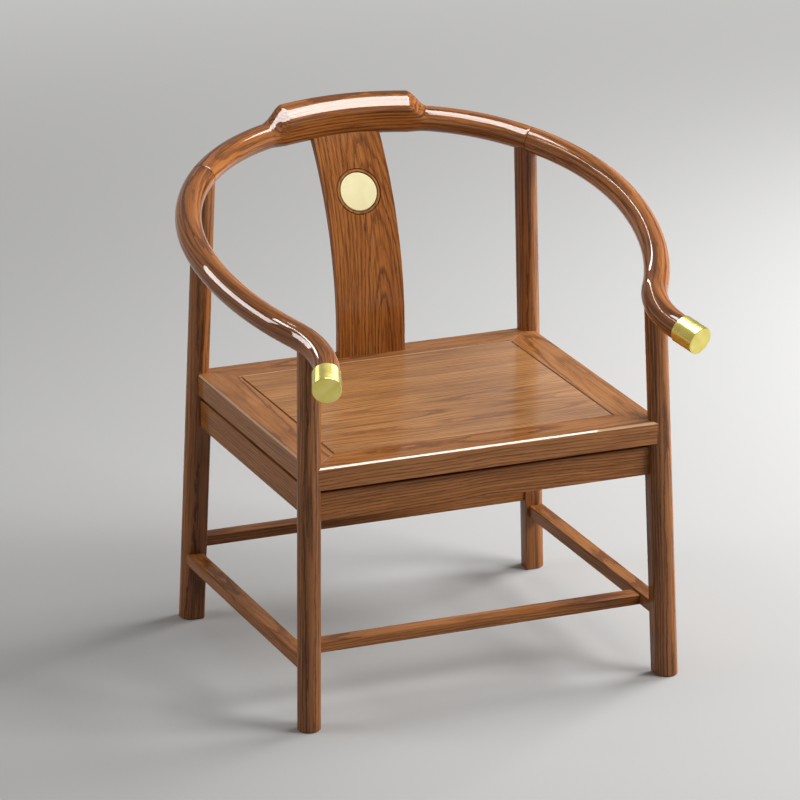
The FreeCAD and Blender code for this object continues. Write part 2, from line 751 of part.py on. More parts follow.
def make_pieces():
    """Every piece of the chair by name, in the frame of the four feet."""
    crest = in_rail_plane(make_crest_rail())
    arm = in_rail_plane(make_arm())
    rail_tubes = [in_rail_plane(Part.makeLoft(bend.rings(0, 1), True, True))
                  for bend in (back_bend, hand_bend)]
    dowel = in_rail_plane(lap_dowel(0))
    dowel_hole = in_rail_plane(lap_dowel(fit_gap))
    cap = in_rail_plane(make_cap())

    front_stick = front_leg.stick()
    rear_stick = rear_leg.stick()
    sticks = [front_stick, rear_stick, mirrored(front_stick), mirrored(rear_stick)]

    side_size = (side_stretcher_width, side_stretcher_height)
    cross_size = (cross_stretcher_width, cross_stretcher_height)
    side_stretcher = make_stretcher(side_stretcher_line, *side_size, sticks)
    side_stretcher = side_stretcher.cut(stretcher_tenons(front_stretcher_line, *cross_size, fit_gap))
    rear_stretcher = make_stretcher(rear_stretcher_line, *cross_size, sticks)
    front_stretcher = make_front_stretcher()
    side_mortise = stretcher_tenons(side_stretcher_line, *side_size, fit_gap)
    rear_mortise = stretcher_tenons(rear_stretcher_line, *cross_size, fit_gap)
    side_apron_mortise = side_apron_tenon(fit_gap)

    front_post = largest(front_stick.cut(rail_tubes)).fuse(front_leg.tenon(0)).removeSplitter()
    front_post = front_post.cut([side_mortise, side_apron_mortise, end_apron_tenon(front_leg, fit_gap)])
    rear_post = largest(rear_stick.cut(rail_tubes)).fuse(rear_leg.tenon(0)).removeSplitter()
    rear_post = rear_post.cut([side_mortise, rear_mortise, side_apron_mortise,
                               end_apron_tenon(rear_leg, fit_gap)])

    frame_front, frame_rear, frame_right = make_seat_frame(sticks)
    batten_slots = [batten_tenon(side, fit_gap) for side in (-1, 1)]
    frame_front = frame_front.cut(batten_slots)
    frame_rear = frame_rear.cut(batten_slots + [splat_tenon()])

    disc, ring, pocket = make_medallion()
    splat = make_splat(pocket)
    housing = splat_strip(splat_thickness, splat_width, seat_height, splat_head_housing)
    rear_hole = rear_leg.tenon(fit_gap)
    crest = crest.cut([housing, rear_hole, mirrored(rear_hole),
                       dowel_hole, mirrored(dowel_hole)])
    arm = arm.cut([front_leg.tenon(fit_gap), rear_hole, dowel_hole])

    pieces = {
        "crest_rail": crest,
        "seat_rail_front": frame_front,
        "seat_rail_rear": frame_rear,
        "apron_front": make_end_apron(front_leg, sticks),
        "apron_rear": make_end_apron(rear_leg, sticks),
        "stretcher_front": front_stretcher,
        "stretcher_rear": rear_stretcher,
        "splat": splat,
        "medallion_ring": ring,
        "medallion_disc": disc,
        "lap_dowels": Part.makeCompound([dowel, mirrored(dowel)]),
    }
    sided = {
        "leg_front": front_post,
        "leg_rear": rear_post,
        "arm": arm,
        "hand_cap": cap,
        "seat_rail": frame_right,
        "apron": make_side_apron(sticks),
        "stretcher": side_stretcher,
    }
    for name, piece in sided.items():
        pieces[name + "_right"] = piece
        pieces[name + "_left"] = mirrored(piece)
    for number, board in enumerate(make_boards()):
        pieces["seat_board_" + str(number + 1)] = board
    for name, side in (("seat_batten_left", -1), ("seat_batten_right", 1)):
        pieces[name] = make_batten(side)
    return pieces


def main():
    os.makedirs("parts", exist_ok=True)
    pieces = make_pieces()
    room = Part.makeCompound(list(pieces.values())).optimalBoundingBox(False, False)
    to_middle = Vector(-room.Center.x, -room.Center.y, 0)
    for name, piece in pieces.items():
        placed = piece.copy()
        placed.translate(to_middle)
        placed.exportStep(os.path.join("parts", name + ".step"))
        size = placed.BoundBox
        print(f"{name:18s} solids {len(placed.Solids)} valid {placed.isValid()} "
              f"volume {placed.Volume / 1000:8.1f} cm3  x {size.XMin:7.1f} {size.XMax:7.1f}  "
              f"y {size.YMin:7.1f} {size.YMax:7.1f}  z {size.ZMin:6.1f} {size.ZMax:6.1f}")
    print(f"whole chair {room.XLength:.1f} wide, {room.YLength:.1f} deep, {room.ZLength:.1f} high, "
          f"moved {to_middle.y:.2f} along y, splat radius {splat_radius:.1f}")


main()
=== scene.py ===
import math

import bpy
import numpy as np
from mathutils import Matrix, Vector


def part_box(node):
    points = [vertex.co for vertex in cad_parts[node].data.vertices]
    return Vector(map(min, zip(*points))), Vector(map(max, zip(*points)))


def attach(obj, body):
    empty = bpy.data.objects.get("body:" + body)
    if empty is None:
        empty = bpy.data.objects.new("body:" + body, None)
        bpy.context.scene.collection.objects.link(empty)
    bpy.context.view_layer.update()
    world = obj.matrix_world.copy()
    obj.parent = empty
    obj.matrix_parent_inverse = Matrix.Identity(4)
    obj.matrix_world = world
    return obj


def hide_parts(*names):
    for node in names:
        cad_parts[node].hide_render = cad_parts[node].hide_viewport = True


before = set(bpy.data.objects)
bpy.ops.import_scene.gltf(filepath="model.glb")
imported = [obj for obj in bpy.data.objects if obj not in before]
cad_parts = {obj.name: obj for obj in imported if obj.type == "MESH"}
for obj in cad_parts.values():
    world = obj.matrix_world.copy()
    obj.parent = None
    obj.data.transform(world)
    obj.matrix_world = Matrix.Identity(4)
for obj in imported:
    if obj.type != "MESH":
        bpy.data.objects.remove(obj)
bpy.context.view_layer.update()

# Horseshoe back armchair, in metres, standing where its solids stand. The sitter faces -Y, right is +X.
MIDDLE = -0.01056          # the middle of the four feet, along y
EASE = 0.00035             # how far a worked arris is broken
SEAM = 0.0004              # the same along the rail's joints, which show

# Rail: bends as radius, turn in degrees and side, from the middle of the crest to the hand
RAIL_RADIUS = 0.0198
RAIL_SLOPE = math.radians(15.8)
RAIL_START = np.array([0.0, 0.336 + MIDDLE, 0.7393])
BENDS = ((0.471, 11.6, 1), (0.317, 77.2, 1), (0.429, 32.1, 1), (0.120, 51.3, -1))
HAND_STRAIGHT = 0.047
BEND_ENDS = np.cumsum([radius * math.radians(turn) for radius, turn, side in BENDS])
REAR_SHARE, FRONT_SHARE = 0.4615, 0.28     # where the legs stand under their bends
REAR_POST = BEND_ENDS[0] + REAR_SHARE * (BEND_ENDS[1] - BEND_ENDS[0])
FRONT_POST = BEND_ENDS[2] + FRONT_SHARE * (BEND_ENDS[3] - BEND_ENDS[2])
JOINT_PAST_POST, LAP_LENGTH, CAP_LENGTH = 0.008, 0.060, 0.040
JOINT = REAR_POST + JOINT_PAST_POST
LAP_END = JOINT + LAP_LENGTH
HAND_END = BEND_ENDS[3] + HAND_STRAIGHT

# Crest: half its level length, the length of a ramp, its rise and widening over the round rail; then the
# angle of its front slope, the ledge before that slope, how far the ridge turns on the ramps, the angle over
# which that turning fades, and how far before the joint it ends; last the powers of its rounded section
CREST_FLAT, CREST_RAMP, CREST_RISE, CREST_WIDER = 0.100, 0.036, 0.0230, 0.0014
CREST_SLANT, CREST_LEDGE, CREST_TURN, CREST_FADE, CREST_CALM = math.radians(25), 0.006, math.radians(34), 1.75, 0.004
UNDER_POWER, BACK_POWER, FRONT_POWER, BLEND_POWER = 3.0, 4.0, 5.0, 16

# Legs and seat frame
LEG_RADIUS, LEG_CORNER, FOOT_CHAMFER = 0.0175, 0.0016, 0.0015
STANCE = np.array([0.2895, 0.246])
SEAT_TOP, SEAT_UNDER = 0.400, 0.366
RAIL_WIDTH = 0.055
UNDER_EDGE, TOP_EDGE, FINE_EDGE = 0.0008, 0.003, 0.0006
FRONT_BEVEL = np.array([0.004, 0.0023])     # the front piece's top edge, back and down

# Boards, battens and aprons
BOARDS, BOARD_UNDER = 5, 0.384
TONGUE, TONGUE_UNDER, TONGUE_TOP = 0.00845, 0.389, 0.395
SIDE_GROOVE, END_GROOVE = 0.0028, 0.0016
GLUED_EDGE, HIDDEN_EDGE = 0.00002, 0.0002
BATTEN_PLACE, BATTEN_HALF, BATTEN_UNDER, BATTEN_TOP, BATTEN_TENON = 0.12, 0.016, 0.372, 0.3842, 0.011
APRON_UNDER, APRON_THICK, SHADOW_HIGH, SHADOW_DEEP, APRON_RISE = 0.314, 0.014, 0.008, 0.009, 0.001

# Splat: upright at the seat, then one arc back into the crest
SPLAT_HALF, SPLAT_THICK, SPLAT_UPRIGHT, SPLAT_EDGE = 0.055, 0.012, 0.030, 0.0012
SPLAT_FROM_BACK, SPLAT_PAST_RAIL, SPLAT_IN_CREST, SPLAT_IN_SEAT = 0.028, 0.004, 0.008, 0.006
RING_INNER, RING_OUTER, POCKET, DISC = 0.0311, 0.0346, 0.0359, 0.0295
MEDAL_DROP, POCKET_DEEP, MEDAL_DEEP, MEDAL_EDGE, DISC_DOWN = 0.0736, 0.0045, 0.0044, 0.0003, 0.0005

SIDES = (("right", False), ("left", True))


# ---- Shapes as whole arrays of points ----

def unit(vectors):
    """Vectors divided by their own length."""
    return vectors / np.linalg.norm(vectors, axis=-1, keepdims=True)


def rail_line(distance):
    """Centre line of the right half of the rail in its own plane, with its heading and outward directions.
    On each bend the heading falls by the distance over the radius, and the point is the bend's centre less
    the radius along the normal of the heading. Past the last bend the line runs straight on."""
    distance = np.asarray(distance, float)
    start, heading, position = np.zeros(2), 0.0, 0.0
    point, angle = np.zeros(distance.shape + (2,)), np.zeros(distance.shape)
    for radius, turn, side in BENDS:
        centre = start + radius * side * np.array([math.sin(heading), -math.cos(heading)])
        turned = heading - side * (distance - position) / radius
        arc = centre - radius * side * np.stack([np.sin(turned), -np.cos(turned)], -1)
        here = distance >= position
        point, angle = np.where(here[..., None], arc, point), np.where(here, turned, angle)
        heading -= side * math.radians(turn)
        start = centre - radius * side * np.array([math.sin(heading), -math.cos(heading)])
        position += radius * math.radians(turn)
    straight = start + (distance - position)[..., None] * np.array([math.cos(heading), math.sin(heading)])
    past = distance >= position
    point, angle = np.where(past[..., None], straight, point), np.where(past, heading, angle)
    nought = np.zeros(distance.shape)
    return (np.stack([point[..., 0], point[..., 1], nought], -1),
            np.stack([np.cos(angle), np.sin(angle), nought], -1),
            np.stack([-np.sin(angle), np.cos(angle), nought], -1))


def tilted(vectors):
    """Directions turned from the rail's plane to the chair: about x by the rail's slope."""
    x, y, z = np.moveaxis(vectors, -1, 0)
    cosine, sine = math.cos(RAIL_SLOPE), math.sin(RAIL_SLOPE)
    return np.stack([x, y * cosine - z * sine, y * sine + z * cosine], -1)


def in_chair(points):
    """Points of the rail's plane at their place on the chair."""
    return tilted(points) + RAIL_START


def circle(count):
    """Angles spread evenly round a circle."""
    return np.arange(count) * 2 * math.pi / count


def round_angles(count):
    """Angles round a section, evenly spread, with one more each side of the joint's plane."""
    edge = SEAM / RAIL_RADIUS
    return np.unique(np.concatenate([circle(count), [edge, math.pi - edge, math.pi + edge, 2 * math.pi - edge]]))


def halved(across, up, side):
    """A section with its half on one side of the joint's plane: the other half is laid flat on the plane,
    and the flat stops an ease short of the edge."""
    flat = up * side <= 1e-9
    limit = RAIL_RADIUS - SEAM
    return np.where(flat, np.clip(across, -limit, limit), across), np.where(flat, 0.0, up)


def carried(distance, across, up):
    """Sections carried along the rail: each point is the line's point plus across times the outward
    direction plus up along the plane's normal. Negative distances run to the left of the middle."""
    side = np.where(distance < 0, -1.0, 1.0)[:, None]
    point, _, outward = rail_line(np.abs(distance))
    flat = point[:, None] + across[..., None] * outward[:, None]
    flat = np.stack([flat[..., 0] * side, flat[..., 1], up], -1)
    grain = np.stack([distance[:, None] + 0 * across, across, up], -1)
    return in_chair(flat), grain


def closed_ends(points, grain):
    """Adds a row at each end whose points all lie on the middle of the end row."""
    wide = np.ones((1, points.shape[1], 1))
    return [np.concatenate([rows[:1].mean(1, keepdims=True) * wide, rows, rows[-1:].mean(1, keepdims=True) * wide])
            for rows in (points, grain)]


def crest_surface():
    """The crest piece. Its section is a superellipse with one power below, one behind the top and one in
    front, where a slope cuts it: the reach along each ray is a smooth minimum, the root of the sum of 16th
    powers of one over each reach. On the ramps each point runs straight to its point on the round rail, by
    an S-shaped share, 1 - t*t*(3 - 2t). The rail's points are turned near the ridge, so the ridge runs out
    on the rail's inner side. Past the joints only the lower half is there."""
    ramp_end = CREST_FLAT + CREST_RAMP
    level = np.linspace(0, CREST_FLAT, 16)[:-1]
    ramp = CREST_FLAT + CREST_RAMP * np.linspace(0, 1, 61)[:-1]
    tail = np.linspace(ramp_end, JOINT - SEAM, 36)
    lap = np.concatenate([[JOINT], np.linspace(JOINT, LAP_END - SEAM, 14)[1:], [LAP_END]])
    right = np.concatenate([level, ramp, tail, [JOINT], lap])
    count = len(right)
    distance = np.concatenate([-right[:0:-1], right])
    order = np.concatenate([np.arange(count)[:0:-1], np.arange(count)])
    joint_row = count - len(lap) - 1
    angle = round_angles(144)[None]
    across, up = np.cos(angle), np.sin(angle)
    power = np.where(up > 0, np.where(across > 0, BACK_POWER, FRONT_POWER), UNDER_POWER)
    wide, high = RAIL_RADIUS + CREST_WIDER, np.where(up > 0, RAIL_RADIUS + CREST_RISE, RAIL_RADIUS)
    cosine, sine = math.cos(CREST_SLANT), math.sin(CREST_SLANT)
    far = cosine * (RAIL_RADIUS + CREST_RISE) - sine * CREST_LEDGE
    slope = np.clip(cosine * high * up - sine * wide * across, 0, None) / far
    section = (np.abs(across) ** power + np.abs(up) ** power) ** (BLEND_POWER / power)
    reach = (section + slope ** BLEND_POWER) ** (-1 / BLEND_POWER)
    step = np.clip((np.abs(distance) - CREST_FLAT) / CREST_RAMP, 0, 1)
    raised = (1 - step * step * (3 - 2 * step))[:, None]
    calm = JOINT - CREST_CALM
    slide = np.clip((calm - np.abs(distance)) / (calm - ramp_end), 0, 1)[:, None]
    ridge = math.atan2(1, CREST_LEDGE / wide)
    apart = (angle - ridge + math.pi) % (2 * math.pi) - math.pi
    turned_angle = angle + CREST_TURN / 2 * (1 + np.cos(np.clip(apart / CREST_FADE, -1, 1) * math.pi)) * slide
    eased = np.isin(order, [joint_row, count - 1])[:, None]
    radius = RAIL_RADIUS - SEAM * (eased & ((up > 0) | (order[:, None] == count - 1)))
    across = np.cos(turned_angle) * radius * (1 - raised) + across * reach * wide * raised
    up = np.sin(turned_angle) * radius * (1 - raised) + up * reach * high * raised
    half_across, half_up = halved(across, up, -1)
    past = (order > joint_row)[:, None]
    return closed_ends(*carried(distance, np.where(past, half_across, across), np.where(past, half_up, up)))


def arm_surface():
    """The right arm: circles carried along the rail from the joint to inside the hand's cap. Up to the end
    of the lap only the upper half is there."""
    in_cap = HAND_END - 0.004
    lap = np.concatenate([[JOINT], np.linspace(JOINT + SEAM, LAP_END, 14)])
    distance = np.concatenate([lap, [LAP_END, LAP_END + SEAM], np.linspace(LAP_END + SEAM, in_cap, 150)[1:]])
    angle = round_angles(88)[None]
    order = np.arange(len(distance))[:, None]
    eased = (order == 0) | ((order == len(lap)) & (np.sin(angle) < 0))
    radius = RAIL_RADIUS - SEAM * eased
    across, up = np.cos(angle) * radius, np.sin(angle) * radius
    half_across, half_up = halved(across, up, 1)
    halves = order < len(lap)
    return closed_ends(*carried(distance, np.where(halves, half_across, across), np.where(halves, half_up, up)))


def turned(profile, origin, axis, count=96):
    """A turned piece: the profile's points, as distance along the axis and radius, swung round the axis.
    The grain holds the distance, and the radius split over two directions."""
    profile = np.asarray(profile, float)
    axis = unit(np.asarray(axis, float))
    side = unit(np.cross(axis, [0.0, 0.0, 1.0]))
    other = np.cross(axis, side)
    angle = circle(count)
    spoke = np.cos(angle)[:, None] * side + np.sin(angle)[:, None] * other
    points = origin + profile[:, None, :1] * axis + profile[:, None, 1:] * spoke[None]
    return points, np.stack([profile[:, :1] + 0 * angle, profile[:, 1:] * np.cos(angle),
                             profile[:, 1:] * np.sin(angle)], -1)


def quarter(centre, radius, first, last, count):
    """Points of an arc about a centre, from a first to a last angle in degrees."""
    angle = np.radians(np.linspace(first, last, count))[:, None]
    return np.asarray(centre) + radius * np.hstack([np.cos(angle), np.sin(angle)])


def cap_surface():
    """Brass cap on the right hand: a bore down to its floor, a thin rounded rim, a plain barrel and a flat
    end with a rounded edge. A ring close to each rounding keeps the surface beside it flat."""
    point, along, _ = rail_line(np.array([HAND_END]))
    origin, axis = in_chair(point)[0], tilted(along)[0]
    outer, inner, edge, rim, floor = 0.0216, 0.0199, 0.0013, 0.0005, 0.003
    profile = np.concatenate([[[-floor, 0.0], [-floor, inner], [-CAP_LENGTH + 0.0004, inner]],
                              quarter((-CAP_LENGTH + rim, outer - rim), rim, 180, 90, 4),
                              [[-CAP_LENGTH + 0.0015, outer], [-edge - 0.0008, outer]],
                              quarter((-edge, outer - edge), edge, 90, 0, 7),
                              [[0.0, outer - edge - 0.0006], [0.0, 0.012], [0.0, 0.004], [0.0, 0.0]]])
    return turned(profile, origin, axis)


def softened(corners, radii, steps=5):
    """Outline of a polygon with rounded corners. Each arc is its centre less the radius times the cosine and
    the sine of the angle along the ways to the next and to the last corner, exact where they are square to
    each other. A point on each side of an arc keeps the flats flat."""
    corners = np.array(corners, float)
    outline = []
    for corner, before, after, radius in zip(corners, np.roll(corners, 1, 0), np.roll(corners, -1, 0), radii):
        back, forth = unit(before - corner), unit(after - corner)
        centre = corner + (back + forth) * radius
        angle = np.linspace(0, math.pi / 2, steps)[:, None]
        margin = radius * 0.2 + 0.0001
        outline.append(np.concatenate([[corner + back * (radius + margin)],
                                       centre - forth * radius * np.cos(angle) - back * radius * np.sin(angle),
                                       [corner + forth * (radius + margin)]]))
    return np.concatenate(outline)


def carved_bar(outline, start, finish, axes, ease=EASE, tongue=None):
    """Bar: an outline (across, up) carried straight from start to finish, each given as a place and a slope
    over the across coordinate, for mitres. The ends are eased by clipping the outline a little smaller.
    A tongue, as reach, lowest and highest, runs on past both ends."""
    inset = np.clip(outline, outline.min(0) + ease, outline.max(0) - ease)
    rows, places = [], []
    for (place, slope), way in ((start, 1), (finish, -1)):
        part = [(inset, 0.0), (outline, ease), (outline, ease * 4)]
        if tongue:
            thin = np.stack([outline[:, 0], np.clip(outline[:, 1], tongue[1], tongue[2])], -1)
            part = [(thin, -tongue[0]), (thin, 0.0)] + part
        part = part if way == 1 else part[::-1]
        rows += [section for section, shift in part]
        places += [place + slope * section[:, 0] + way * shift for section, shift in part]
    section, along = np.array(rows), np.array(places)
    local = np.concatenate([along[..., None], section], -1)
    points, grain = closed_ends(local, local)
    order = {"x": (0, 1, 2), "y": (1, 0, 2)}[axes]
    return points[..., order], grain


class Leg:
    """A leg from its foot on the floor to the rail's centre line."""

    def __init__(self, foot, rail_distance, inward):
        self.foot, self.head = np.array(foot), in_chair(rail_line(np.array([rail_distance]))[0])[0]
        self.rail_distance, self.axis = rail_distance, unit(self.head - self.foot)
        across, along = np.array([-1.0, 0, 0]), np.array([0, inward, 0.0])
        self.across = unit(across - self.axis * (across @ self.axis))
        along = along - self.axis * (along @ self.axis)
        self.along = unit(along - self.across * (along @ self.across))

    def at_height(self, section, height):
        """Each line of the section cut at a height: its start in the plane through the foot, square to the
        leg, plus the axis times the rise over the axis' own rise."""
        start = self.foot + section[:, :1] * self.across + section[:, 1:] * self.along
        return start + self.axis * ((height - start[:, 2:]) / self.axis[2])

    def top_heights(self, section):
        """Height at which each line of the section meets the rail, a hair inside it: halving steps between a
        place clear of the rail and one inside it, by the distance to the nearest point of the rail's line."""
        span, hair = 0.07, 0.0003
        line = in_chair(rail_line(np.linspace(self.rail_distance - span, self.rail_distance + span, 1200))[0])
        low = np.full((len(section), 1), self.head[2] - span)
        high = np.full((len(section), 1), self.head[2])
        for step in range(24):
            middle = (low + high) / 2
            place = self.at_height(section, middle)
            gap = np.linalg.norm(place[:, None] - line[None], axis=-1).min(1)[:, None]
            inside = gap < RAIL_RADIUS - hair
            low, high = np.where(inside, low, middle), np.where(inside, middle, high)
        return low

    def surface(self):
        """The whole leg: a section round outside with one square corner inside up to the seat, then a circle
        up to the rail, each line of it straight. The foot has a small chamfer."""
        square = softened([(0, LEG_RADIUS), (LEG_RADIUS, LEG_RADIUS), (LEG_RADIUS, 0)], (0, LEG_CORNER, 0))[7:14]
        turn = np.radians(np.linspace(0, -270, 76))[:, None]
        sweep = LEG_RADIUS * np.hstack([np.cos(turn), np.sin(turn)])
        lower = np.concatenate([[[0.001, LEG_RADIUS]], square, [[LEG_RADIUS, 0.001]], sweep])
        upper = LEG_RADIUS * unit(lower)
        foot = lower * (1 - FOOT_CHAMFER / np.linalg.norm(lower, axis=-1, keepdims=True))
        middle = np.zeros_like(lower)
        top = self.top_heights(upper)
        levels = [(middle, 0.0), (foot, 0.0), (lower, FOOT_CHAMFER), (lower, 0.004), (lower, 0.12), (lower, 0.25),
                  (lower, SEAT_UNDER + 0.01), (upper, SEAT_UNDER + 0.01), (upper, SEAT_TOP + 0.02),
                  (upper, (SEAT_TOP + self.head[2]) / 2), (upper, top - 0.004), (upper, top)]
        points = np.array([self.at_height(section, height) for section, height in levels])
        points = np.concatenate([points, self.head + np.zeros((1,) + points.shape[1:])])
        local = points - self.foot
        return points, np.stack([local @ self.axis, local @ self.across, local @ self.along], -1)


front_leg = Leg((STANCE[0], -STANCE[1] + MIDDLE, 0.0), FRONT_POST, 1)
rear_leg = Leg((STANCE[0], STANCE[1] + MIDDLE, 0.0), REAR_POST, -1)

seat_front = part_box("seat_rail_front")[0].y
seat_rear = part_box("seat_rail_rear")[1].y
seat_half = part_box("seat_rail_right")[1].x
splat_foot = seat_rear - SPLAT_FROM_BACK
splat_run = RAIL_START[1] + SPLAT_PAST_RAIL - splat_foot
splat_climb = RAIL_START[2] - SEAT_TOP - SPLAT_UPRIGHT
splat_radius = (splat_run ** 2 + splat_climb ** 2) / (2 * splat_run)
splat_head = (math.asin(splat_climb / splat_radius) * splat_radius + SPLAT_UPRIGHT) - (RAIL_RADIUS - SPLAT_IN_CREST)
medal_angle = math.asin((RAIL_START[2] - RAIL_RADIUS - MEDAL_DROP - SEAT_TOP - SPLAT_UPRIGHT)
                        / (splat_radius + SPLAT_THICK / 2))
medal_place = SPLAT_UPRIGHT + medal_angle * splat_radius


def bent(across, rise, depth):
    """Place on the splat: straight up at first, then round a centre behind it. The angle is the rise past
    the upright over the radius, and depth, from the middle surface back, shortens the radius."""
    angle = np.clip(rise - SPLAT_UPRIGHT, 0, None) / splat_radius
    radius = splat_radius - depth
    y = splat_foot + splat_radius - radius * np.cos(angle)
    z = SEAT_TOP + np.minimum(rise, SPLAT_UPRIGHT) + radius * np.sin(angle)
    return np.stack([across + 0 * y, y, z], -1), np.stack([rise + 0 * y, across + 0 * y, depth + 0 * y], -1)


def round_medallion(profile):
    """A profile, as radius from the medallion's middle and depth from the splat's face, swung round."""
    radius, angle, depth = profile[:, :1], circle(128)[None], profile[:, 1:]
    return bent(radius * np.cos(angle), medal_place + radius * np.sin(angle), depth - SPLAT_THICK / 2)


def splat_surface():
    """The whole splat as rays from the medallion's middle: over the pocket's floor, up its wall, over the face
    to the outline, round the edge by an arc, and over the back to the middle again. The outline's distance
    along a ray is the smaller of half the width over the cosine and the height left over the sine."""
    up, down = splat_head - medal_place, medal_place + SPLAT_IN_SEAT
    corners = np.array([math.atan2(up, SPLAT_HALF), math.atan2(up, -SPLAT_HALF),
                        math.atan2(-down, SPLAT_HALF), math.atan2(-down, -SPLAT_HALF)]) % (2 * math.pi)
    angle = np.unique(np.concatenate([circle(200), corners]))
    level = np.where(np.sin(angle) > 0, up, down)
    reach = np.minimum(SPLAT_HALF / np.maximum(np.abs(np.cos(angle)), 1e-9),
                       level / np.maximum(np.abs(np.sin(angle)), 1e-9))
    x, y = np.cos(angle), np.sin(angle)
    edge, hair = SPLAT_EDGE, MEDAL_EDGE
    rows = [(share * POCKET * x, share * POCKET * y, POCKET_DEEP) for share in (0, 0.9, 1)]
    rows += [(POCKET * x, POCKET * y, hair), ((POCKET + hair) * x, (POCKET + hair) * y, 0.0)]

    def row(far, inset, depth):
        rows.append((np.clip(far * x, inset - SPLAT_HALF, SPLAT_HALF - inset), far * y, depth))

    start = POCKET + 2 * hair
    for share in np.linspace(0, 1, 30):
        row(start + (reach - POCKET - 2 * hair) * share, edge, 0.0)
    for turn in np.radians(np.linspace(12, 90, 6)):
        row(reach, edge * (1 - math.sin(turn)), edge * (1 - math.cos(turn)))
    for depth in (edge * 1.4, SPLAT_THICK - edge * 1.4):
        rows.append((reach * x, reach * y, depth))
    for turn in np.radians(np.linspace(90, 0, 7)):
        row(reach, edge * (1 - math.sin(turn)), SPLAT_THICK - edge * (1 - math.cos(turn)))
    for share in np.linspace(0.99, 0, 30):
        row(reach * share, edge, SPLAT_THICK)
    across, rise, depth = (np.array(column) for column in zip(*rows))
    return bent(across, rise + medal_place, depth[:, None] - SPLAT_THICK / 2 + 0 * across)


def ring_surface():
    """The medallion's ring, flush with the splat: its outline, with both top arrises broken, swung round."""
    profile = np.array([(RING_INNER, MEDAL_DEEP), (RING_INNER, MEDAL_EDGE), (RING_INNER + MEDAL_EDGE, 0.0),
                        (RING_OUTER - MEDAL_EDGE, 0.0), (RING_OUTER, MEDAL_EDGE), (RING_OUTER, MEDAL_DEEP),
                        (RING_INNER, MEDAL_DEEP)])
    return round_medallion(profile)


def disc_surface():
    """The pale disc: flat, with a softly rounded rim, a hair below the ring."""
    rim = 0.0007
    profile = np.concatenate([[(0.0, MEDAL_DEEP), (DISC, MEDAL_DEEP), (DISC, DISC_DOWN + rim + 0.0002)],
                              [(DISC - rim + rim * math.cos(turn), DISC_DOWN + rim - rim * math.sin(turn))
                               for turn in np.radians([15, 35, 55, 75, 90])],
                              [(radius, DISC_DOWN) for radius in (0.028, 0.02, 0.01, 0.0)]])
    return round_medallion(profile)


# ---- Meshes ----

def linked(name, data):
    """A new object in the scene that holds the data, at the origin."""
    item = bpy.data.objects.new(name, data)
    bpy.context.scene.collection.objects.link(item)
    return item


def skin(name, surface, finish, nodes, offset=(0, 0, 0), flip=False, sharp=34):
    """Closed mesh over a grid of points whose columns run round and join up. Points that are the same are
    welded, quads left with three corners become triangles, and all faces turn outward by the sign of the
    volume that they enclose. The grain of the wood is kept on each point."""
    points, grain = surface
    if flip:
        points = points * np.array([-1.0, 1.0, 1.0])
    rows, columns = points.shape[:2]
    flat, place = points.reshape(-1, 3), np.arange(rows * columns).reshape(rows, columns)
    after = np.roll(place, -1, axis=1)
    quads = np.stack([place[:-1], after[:-1], after[1:], place[1:]], -1).reshape(-1, 4)
    weld = 2e-6
    first, merged = np.unique(np.round(flat / weld), axis=0, return_index=True, return_inverse=True)[1:3]
    quads = merged.reshape(-1)[quads]
    doubled = (quads == np.roll(quads, 1, axis=1)).any(1) | (quads[:, 0] == quads[:, 2]) | (quads[:, 1] == quads[:, 3])
    halves = np.concatenate([quads[doubled][:, (0, 1, 2)], quads[doubled][:, (0, 2, 3)]])
    halves = halves[(halves != np.roll(halves, 1, axis=1)).all(1)]
    quads = quads[~doubled]
    spots = flat[first]
    fans = np.concatenate([quads[:, (0, 1, 2)], quads[:, (0, 2, 3)], halves])
    a, b, c = np.moveaxis(spots[fans], 1, 0)
    if (a * np.cross(b, c)).sum() < 0:
        quads, halves = quads[:, ::-1], halves[:, ::-1]
    mesh = bpy.data.meshes.new(name)
    mesh.from_pydata(spots.tolist(), [], quads.tolist() + halves.tolist())
    layer = mesh.attributes.new("grain", "FLOAT_VECTOR", "POINT")
    layer.data.foreach_set("vector", (grain.reshape(-1, 3)[first] + np.array(offset)).astype(np.float32).ravel())
    mesh.shade_smooth()
    mesh.set_sharp_from_angle(angle=math.radians(sharp))
    mesh.materials.append(finish)
    piece = linked(name, mesh)
    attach(piece, "root")
    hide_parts(*nodes)


# ---- Finishes ----

class Number:
    """A number that varies over a surface; its signs add the nodes that work it out."""

    def __init__(self, finish, socket):
        self.finish, self.socket = finish, socket

    def joined(self, operation, *values):
        return self.finish.joined(operation, *values)

    def __add__(self, other):
        return self.joined("ADD", self, other)

    def __sub__(self, other):
        return self.joined("SUBTRACT", self, other)

    def __rsub__(self, other):
        return self.joined("SUBTRACT", other, self)

    def __mul__(self, other):
        return self.joined("MULTIPLY", self, other)

    def __truediv__(self, other):
        return self.joined("DIVIDE", self, other)

    def __pow__(self, other):
        return self.joined("POWER", self, other)

    __radd__, __rmul__ = __add__, __mul__


class Node:
    """A node of a finish and its outputs."""

    def __init__(self, finish, made):
        self.finish, self.made = finish, made

    def number(self, name=0):
        return Number(self.finish, self.made.outputs[name])

    def out(self, name=0):
        return self.made.outputs[name]


